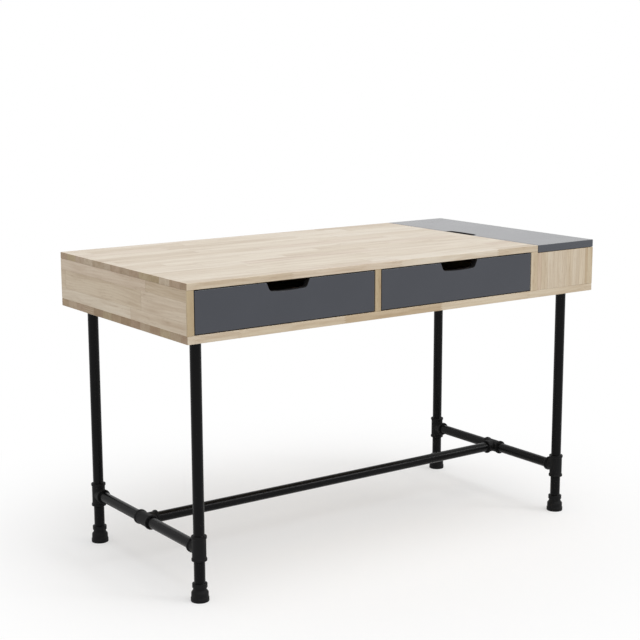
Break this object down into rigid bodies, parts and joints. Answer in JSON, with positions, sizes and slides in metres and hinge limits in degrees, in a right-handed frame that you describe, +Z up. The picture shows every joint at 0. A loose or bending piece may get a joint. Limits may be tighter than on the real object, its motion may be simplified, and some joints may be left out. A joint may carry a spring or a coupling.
{
  "type": "writing desk",
  "caption": "Butcher-block desk with two inset drawers and a lidded end compartment, on a frame of black threaded pipe with a low H-shaped stretcher.",
  "frame": {"origin": "on the floor, under the middle of the desk", "axes": "+Z up, +X to the right-hand end with the lidded compartment, -Y out of the drawer fronts"},
  "size_m": [1.259, 0.63, 0.76],
  "materials": {
    "washed_rubberwood": "pale washed finger-jointed rubberwood, matt lacquer",
    "slate_lacquer": "satin slate-grey lacquer on board",
    "drawer_softwood": "planed pale wood, matt",
    "drawer_plywood": "thin birch plywood, matt",
    "black_pipe": "matt black powder coat",
    "black_casting": "matt black coated malleable iron",
    "zinc_steel": "zinc-plated rolled steel",
    "hinge_steel": "black plated steel",
    "clear_bumper": "soft translucent polyurethane"
  },
  "bodies": {
    "frame": {"back_left_leg": "black_pipe", "back_right_leg": "black_pipe", "bottom_panel": "washed_rubberwood", "case_hinge_leaves": "hinge_steel", "center_divider": "washed_rubberwood", "compartment_back_panel": "washed_rubberwood", "compartment_front_panel": "washed_rubberwood", "drawer_bay_back_panel": "washed_rubberwood", "feet": "black_casting", "foot_nipples": "black_pipe", "front_left_leg": "black_pipe", "front_right_leg": "black_pipe", "hinge_pins": "hinge_steel", "left_case_rails": "zinc_steel", "left_side_panel": "washed_rubberwood", "left_stretchers": "black_pipe", "leg_plates": "black_pipe", "leg_tees": "black_casting", "lid_bumpers": "clear_bumper", "long_stretcher": "black_pipe", "middle_tees": "black_casting", "right_case_rails": "zinc_steel", "right_divider": "washed_rubberwood", "right_side_panel": "washed_rubberwood", "right_stretchers": "black_pipe", "top_panel": "washed_rubberwood"},
    "left_drawer": {"left_drawer_front": "slate_lacquer", "left_drawer_left_side": "drawer_softwood", "left_drawer_right_side": "drawer_softwood", "left_drawer_back": "drawer_softwood", "left_drawer_bottom": "drawer_plywood", "left_drawer_rails": "zinc_steel"},
    "left_cages": {"left_ball_cages": "zinc_steel"},
    "right_drawer": {"right_drawer_front": "slate_lacquer", "right_drawer_left_side": "drawer_softwood", "right_drawer_right_side": "drawer_softwood", "right_drawer_back": "drawer_softwood", "right_drawer_bottom": "drawer_plywood", "right_drawer_rails": "zinc_steel"},
    "right_cages": {"right_ball_cages": "zinc_steel"},
    "lid": {"lid_panel": "slate_lacquer", "lid_hinge_leaves": "hinge_steel"}
  },
  "joints": [
    {"name": "left_drawer_slide", "type": "slide", "parent": "frame", "child": "left_drawer", "axis": [0, -1, 0], "range_m": [0, 0.375]},
    {"name": "left_cages_slide", "type": "slide", "parent": "frame", "child": "left_cages", "axis": [0, -1, 0], "range_m": [0, 0.1875]},
    {"name": "right_drawer_slide", "type": "slide", "parent": "frame", "child": "right_drawer", "axis": [0, -1, 0], "range_m": [0, 0.375]},
    {"name": "right_cages_slide", "type": "slide", "parent": "frame", "child": "right_cages", "axis": [0, -1, 0], "range_m": [0, 0.1875]},
    {"name": "lid_hinge", "type": "hinge", "parent": "frame", "child": "lid", "pos_m": [0.628, 0, 0.7405], "axis": [0, 1, 0], "range_deg": [0, 180]}
  ],
  "couplings": [
    {"joint": "left_cages_slide", "follows": "left_drawer_slide", "ratio": 0.5},
    {"joint": "right_cages_slide", "follows": "right_drawer_slide", "ratio": 0.5}
  ]
}
